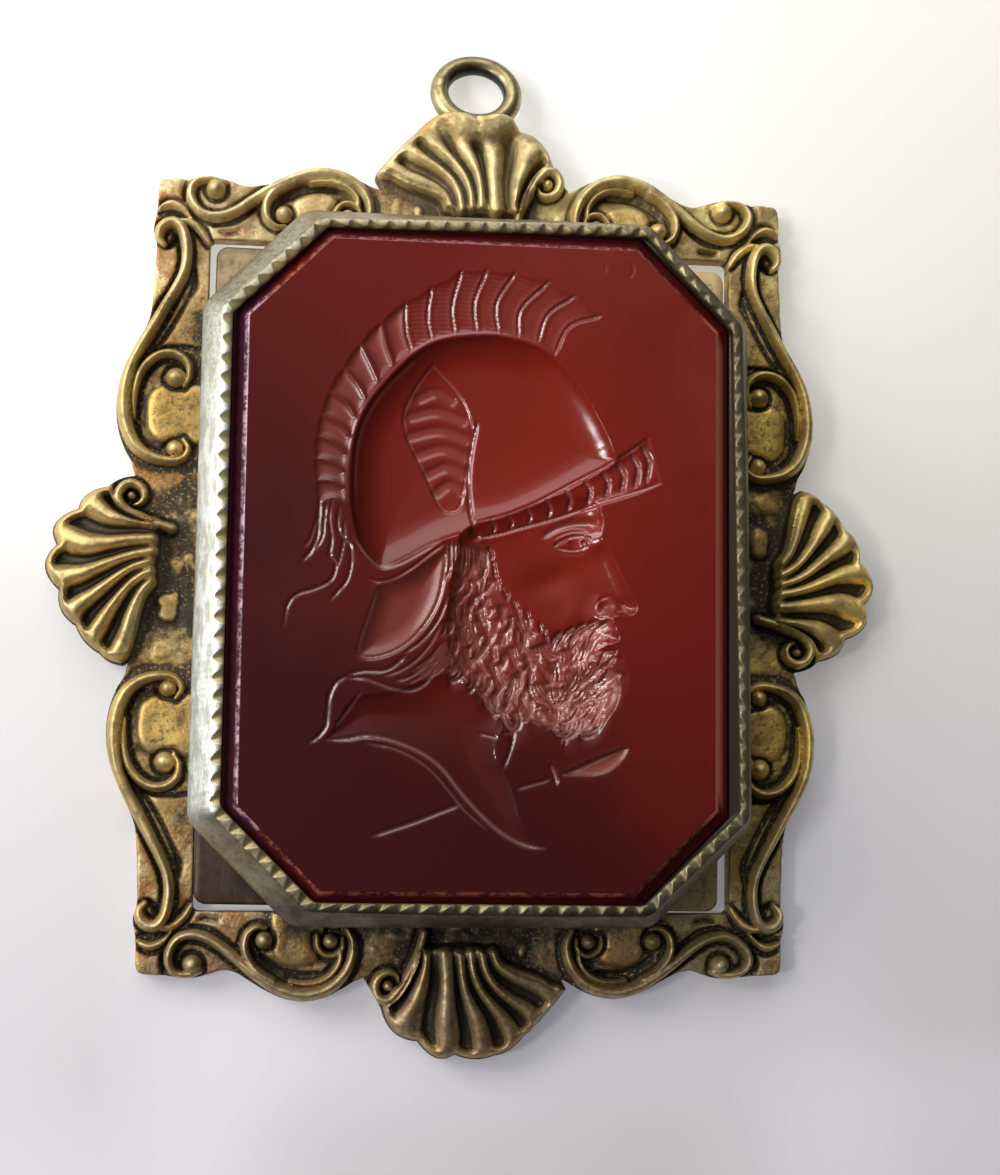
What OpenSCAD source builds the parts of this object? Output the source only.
// Intaglio fob seal, lying face up: struck scroll-and-shell border, fixed eye,
// octagonal milled bezel on a back plate, and a cut-corner seal stone.
// +X is to the right of the face, +Y points to the eye, +Z is out of the face.

/* [Frame] */
// Width of the rectangular border, without scrolls and shells
frame_w = 28.9; // [27.5:0.1:30]
// Height of the rectangular border, without scrolls and shells
frame_h = 35.8; // [34.5:0.1:37]
// Width of the window
window_w = 24.1; // [23.9:0.1:24.3]
// Height of the window
window_h = 30.3; // [30.1:0.1:30.5]
// Thickness of the struck ground
ground_t = 0.9; // [0.6:0.05:0.95]
// Height of the scroll crests above the back
scroll_z = 1.75; // [1.3:0.05:2.2]
// Width of a scroll stroke at its widest
scroll_w = 0.85; // [0.6:0.05:1]

/* [Shells] */
// Distance from the middle of the frame to the hinge of the side shells
shell_side = 13.9; // [13.4:0.1:14.2]
// Distance from the middle of the frame to the hinge of the top and bottom shells
shell_end = 16.5; // [16.2:0.1:17]
// Height of the shell ribs at the hinge
shell_z = 2.15; // [1.6:0.05:2.6]
// Height of the shell ribs at the scalloped rim
shell_rim_z = 1.2; // [1:0.05:1.5]

/* [Eye] */
// Radius of the eye's centre line
eye_r = 1.7; // [1.5:0.05:2]
// Diameter of the eye's wire
eye_wire = 0.88; // [0.7:0.02:1]
// Angle at which the eye leans back
eye_lean = 20; // [10:1:28]
// Length of the flattened land inside the eye
eye_land = 0.5; // [0.3:0.05:0.7]
// Distance from the middle of the frame to the middle of the eye
eye_y = 22.55; // [22.3:0.05:22.8]

/* [Setting] */
// Width of the bezel at its foot
bezel_w = 24.7; // [24.4:0.1:24.7]
// Height of the bezel at its foot
bezel_h = 31.5; // [31.2:0.1:31.6]
// Width of the slope between the wall and the lip
bezel_slope = 0.55; // [0.3:0.05:0.6]
// Height of that slope
slope_z = 1.65; // [0.8:0.05:2]
// How far the stone sits to the right of the frame's middle
setting_x = 0.15; // [0.1:0.05:0.2]
// How far the stone and its bezel sit above the frame's middle
setting_y = 0.1; // [0:0.05:0.15]
// Height of the lip above the back
lip_z = 5.25; // [4.5:0.05:6]
// Pitch of the milled teeth along the lip
tooth_pitch = 0.84; // [0.6:0.02:1.2]
// Depth of the milled teeth
tooth_depth = 0.2; // [0.1:0.05:0.25]
// Thickness of the back plate
plate_t = 0.8; // [0.5:0.05:1]

/* [Stone] */
// Width of the stone at the girdle
stone_w = 22.0; // [21:0.1:22.1]
// Height of the stone at the girdle
stone_h = 29.7; // [29:0.1:29.8]
// Width of the bevel around the table
bevel_w = 0.7; // [0.4:0.05:1]
// Cut of the corners, measured along each side at the girdle
stone_cut = 4.0; // [3:0.1:5]

/* [Hidden] */

gap = 0.05;                       // small gap between the pieces
foot_gap = 0.3;                   // height of the back plate above the resting plane
plate_w = window_w - 0.5;
plate_h = window_h - 0.5;
plate_top = foot_gap + gap + plate_t;
table_z = lip_z - 0.15;
girdle_z = table_z - 0.65;
bezel_cut = stone_cut + 0.5;
// the bezel is a little wider on the left and its lip bends in less on the right
bezel_x = setting_x - 0.1;
lip_x = setting_x + 0.1;

eye_wr = eye_wire / 2;
eye_z = eye_r * sin(eye_lean) + eye_wr;
shell_reach = 5.1;                // from hinge to the outermost scallop

// the bounding box in Y runs from the bottom shell's rim to the eye's outer edge
top_y = eye_y + eye_r * cos(eye_lean) + eye_wr;
bottom_y = -(shell_end + shell_reach);
oy = -(top_y + bottom_y) / 2;

// ---------- struck strokes ----------
// a stroke is a chain of crowned blunt cones; p = [x, y, width, crest height]
module crown_at(p) {
  translate([p[0], p[1], 0]) rotate(11) {
    cylinder(h = p[3] * 0.8, r = p[2] / 2, $fn = 8);
    cylinder(h = p[3], r = p[2] / 6, $fn = 6);
  }
}
module stroke(pts) {
  for (i = [0 : len(pts) - 2]) hull() { crown_at(pts[i]); crown_at(pts[i + 1]); }
}
// arc of radius r about c from angle a0 to a1, thickest in the middle
function arc_stroke(c, r, a0, a1, w, z, n = 7) =
  [for (i = [0 : n]) let (t = i / n, a = a0 + (a1 - a0) * t)
    [c[0] + r * cos(a), c[1] + r * sin(a), w * (0.7 + 0.3 * sin(180 * t)), z]];
// quadratic curve through three points, with width and height from start to end
function bend(a, m, b, t) = let (q = 2 * m - (a + b) / 2)
  (1 - t) * (1 - t) * a + 2 * t * (1 - t) * q + t * t * b;
function bend_stroke(a, m, b, w0, w1, z0, z1, n = 3) =
  [for (i = [0 : n]) let (t = i / n, p = bend(a, m, b, t))
    [p[0], p[1], w0 + (w1 - w0) * t, z0 + (z1 - z0) * sqrt(t)]];

// ---------- one quarter of the border ornament (x > 0, y > 0) ----------
side_c = [13.2, 7.05];            // middle of the C scroll on the long side
side_r = 2.4;
end_c = [7.05, 16.35];            // middle of the C scroll on the short side
end_r = 2.15;
// short strokes: start x, y, middle x, y, end x, y, width
S_ROWS = [
  [14.85, 10.0, 14.2, 12.3, 13.6, 14.2, 0.65],
  [13.6, 14.2, 13.7, 15.5, 14.2, 15.3, 0.5],
  [9.3, 17.7, 10.6, 17.1, 11.7, 16.4, 0.65],
  [11.7, 16.4, 13.0, 16.7, 12.5, 17.5, 0.5]
];
// round volute ends: x, y, radius
BEADS = [[13.25, 8.75, 0.5], [13.25, 5.35, 0.5], [5.7, 16.7, 0.45], [8.4, 16.7, 0.45]];

module quarter_strokes() {
  stroke(arc_stroke(side_c, side_r, 92, -92, scroll_w, scroll_z));
  stroke(arc_stroke(end_c, end_r, 178, 2, scroll_w, scroll_z));
  for (s = S_ROWS)
    stroke(bend_stroke([s[0], s[1]], [s[2], s[3]], [s[4], s[5]], s[6], s[6] * 0.8, scroll_z * 0.9, scroll_z * 0.8));
  for (b = BEADS) translate([b[0], b[1], 0]) {
    cylinder(h = scroll_z * 0.75, r = b[2], $fn = 10);
    cylinder(h = scroll_z * 0.95, r1 = b[2], r2 = b[2] * 0.5, $fn = 10);
  }
}
module quarter_outline() {
  translate(side_c) circle(r = side_r + scroll_w / 2, $fn = 32);
  translate(end_c) circle(r = end_r + scroll_w / 2, $fn = 32);
  polygon([[12.5, 15.0], [frame_w / 2, 15.0], [frame_w / 2 + 0.45, 10.4], [frame_w / 2 + 0.9, 9.0], [12.5, 7]]);
}
module in_quarters() {
  for (mx = [0, 1], my = [0, 1]) mirror([mx, 0, 0]) mirror([0, my, 0]) children();
}

// ---------- scallop shell: hinge at the origin, opening towards +Y ----------
// ribs: start x, y, middle x, y, end x, y, width at the rim
RIBS = [
  [1.10, 0.3, 1.40, 1.9, 2.10, 3.60, 1.35],
  [0.55, 0.3, 0.65, 2.2, 0.75, 4.45, 1.15],
  [0.00, 0.3, -0.15, 2.2, -0.75, 4.55, 1.10],
  [-0.45, 0.3, -0.90, 2.1, -2.00, 4.35, 1.00],
  [-0.90, 0.3, -1.55, 1.9, -3.00, 3.80, 0.95],
  [-1.35, 0.35, -2.35, 1.7, -3.75, 3.05, 0.90],
  [-1.80, 0.5, -3.00, 1.3, -4.35, 2.30, 0.80]
];
module shell_base() {
  polygon(concat([[1.6, -0.2]], [[3.7, 1.6], [3.1, 2.6]], [for (r = RIBS) [r[4], r[5]]], [[-1.9, -0.2]]));
  translate([2.95, 1.9]) circle(r = 0.95, $fn = 24);
}
module shell() {
  linear_extrude(height = ground_t) shell_base();
  hull() {
    linear_extrude(height = ground_t) polygon([[1.3, 0.2], [2.1, 3.4], [0, 4.4], [-2.2, 4.1], [-4.1, 2.3], [-1.4, 0.2]]);
    translate([-0.1, 1.2, 0]) cylinder(h = shell_z - 0.45, r = 0.9, $fn = 16);
  }
  for (r = RIBS)
    stroke(bend_stroke([r[0], r[1]], [r[2], r[3]], [r[4], r[5]], 0.4, r[6], shell_z, shell_rim_z));
  stroke(arc_stroke([2.95, 1.95], 0.7, -160, 90, 0.5, 1.5, 6));
  translate([2.9, 1.9, 0]) cylinder(h = 1.35, r = 0.3, $fn = 12);
}
module in_shell_places() {
  translate([0, shell_end, 0]) children();
  rotate(180) translate([0, shell_end, 0]) children();
  rotate(90) translate([0, shell_side, 0]) children();
  rotate(-90) translate([0, shell_side, 0]) children();
}

// ---------- eye ----------
module eye_frame() { translate([0, eye_y, eye_z]) rotate([-eye_lean, 0, 0]) children(); }

// ---------- octagon with equal cuts ----------
function octagon(w, h, c) = [
  [w/2, h/2 - c], [w/2 - c, h/2], [-w/2 + c, h/2], [-w/2, h/2 - c],
  [-w/2, -h/2 + c], [-w/2 + c, -h/2], [w/2 - c, -h/2], [w/2, -h/2 + c]];
// milled edge: n teeth along each side, tips pointing inwards
function unit(v) = v / norm(v);
function milled(pts, pitch, depth) = [for (i = [0 : len(pts) - 1])
  let (a = pts[i], b = pts[(i + 1) % len(pts)], l = norm(b - a), n = max(2, round(l / pitch)),
       d = unit(b - a), inward = [-d[1], d[0]])
  for (k = [0 : n - 1]) each [a + d * (l * (k + 0.25) / n), a + d * (l * (k + 0.75) / n) + inward * depth]];

// ---------- pieces ----------
module frame() color([0.62, 0.50, 0.26]) translate([0, oy, 0]) difference() {
  union() {
    linear_extrude(height = ground_t) union() {
      square([frame_w, frame_h], center = true);
      in_quarters() quarter_outline();
    }
    in_quarters() quarter_strokes();
    in_shell_places() shell();
    // low solder pads beside the setting, at the middles of the sides
    for (p = [[-12.75, 0.3, 0.75, 2.0, 1.35], [12.85, 1.2, 0.75, 2.2, 1.3], [-0.9, -16.15, 2.6, 0.8, 1.3], [0.6, 16.3, 2.0, 0.7, 1.2]])
      translate([p[0], p[1], 0]) hull() {
        translate([-p[2] / 2, -p[3] / 2, 0]) cube([p[2], p[3], p[4] * 0.8]);
        translate([-p[2] / 4, -p[3] / 4, 0]) cube([p[2] / 2, p[3] / 2, p[4]]);
      }
  }
  // window, leaving a thin lug behind the setting at each middle
  difference() {
    translate([-window_w / 2, -window_h / 2, -1]) cube([window_w, window_h, 5]);
    for (a = [0, 180]) rotate(a) {
      translate([-3, window_h / 2 - 1.2, -2]) cube([6, 2, 2 + foot_gap]);
      translate([window_w / 2 - 1.2, -3, -2]) cube([2, 6, 2 + foot_gap]);
    }
  }
  // seat of the soldered eye and a clear way through it
  eye_frame() {
    rotate_extrude($fn = 32) translate([eye_r, 0]) circle(r = eye_wr + gap * 1.5, $fn = 14);
    translate([0, 0, -6]) cylinder(h = 12, r = eye_r, $fn = 32);
  }
}

module ring() color([0.60, 0.50, 0.28]) translate([0, oy, 0]) eye_frame()
  rotate_extrude($fn = 96) translate([eye_r, 0]) union() {
    circle(r = eye_wr, $fn = 48);
    translate([-eye_wr * 0.97, -eye_land / 2]) square([eye_wr, eye_land]);
  }

module setting() color([0.55, 0.54, 0.46]) translate([0, oy, 0]) {
  // back plate
  translate([0, 0, foot_gap + gap]) linear_extrude(height = plate_t) union() {
    square([plate_w - 0.9, plate_h], center = true);
    square([plate_w, plate_h - 0.9], center = true);
    for (x = [-1, 1], y = [-1, 1]) translate([x * (plate_w / 2 - 0.45), y * (plate_h / 2 - 0.45)]) circle(r = 0.45, $fn = 32);
  }
  // bezel wall: upright, then sloping in to the lip, its inner edge cut into teeth
  translate([0, setting_y, 0]) difference() {
    translate([bezel_x, 0, 0]) hull() {
      translate([0, 0, ground_t + 0.1]) linear_extrude(height = lip_z - slope_z - ground_t - 0.1)
        polygon(octagon(bezel_w, bezel_h, bezel_cut));
      translate([0, 0, lip_z - 0.1]) linear_extrude(height = 0.1)
        polygon(octagon(bezel_w - 2 * bezel_slope, bezel_h - 2 * bezel_slope, bezel_cut - 0.2));
    }
    translate([setting_x, 0, -1]) linear_extrude(height = lip_z - 0.45 + 1)
      polygon(octagon(stone_w + 2 * gap, stone_h + 2 * gap, stone_cut));
    translate([lip_x, 0, lip_z - 0.6]) linear_extrude(height = 1)
      polygon(milled(octagon(stone_w + 0.6, stone_h + 0.2, stone_cut + 0.05), tooth_pitch, tooth_depth));
  }
}

module stone() color([0.45, 0.08, 0.06, 0.9]) translate([setting_x, oy + setting_y, 0]) hull() {
  translate([0, 0, plate_top + gap]) linear_extrude(height = girdle_z - plate_top - gap)
    polygon(octagon(stone_w, stone_h, stone_cut));
  translate([0, 0, table_z - 0.02]) linear_extrude(height = 0.02)
    polygon(octagon(stone_w - 2 * bevel_w, stone_h - 2 * bevel_w, stone_cut - 0.41));
}

frame();
ring();
setting();
stone();
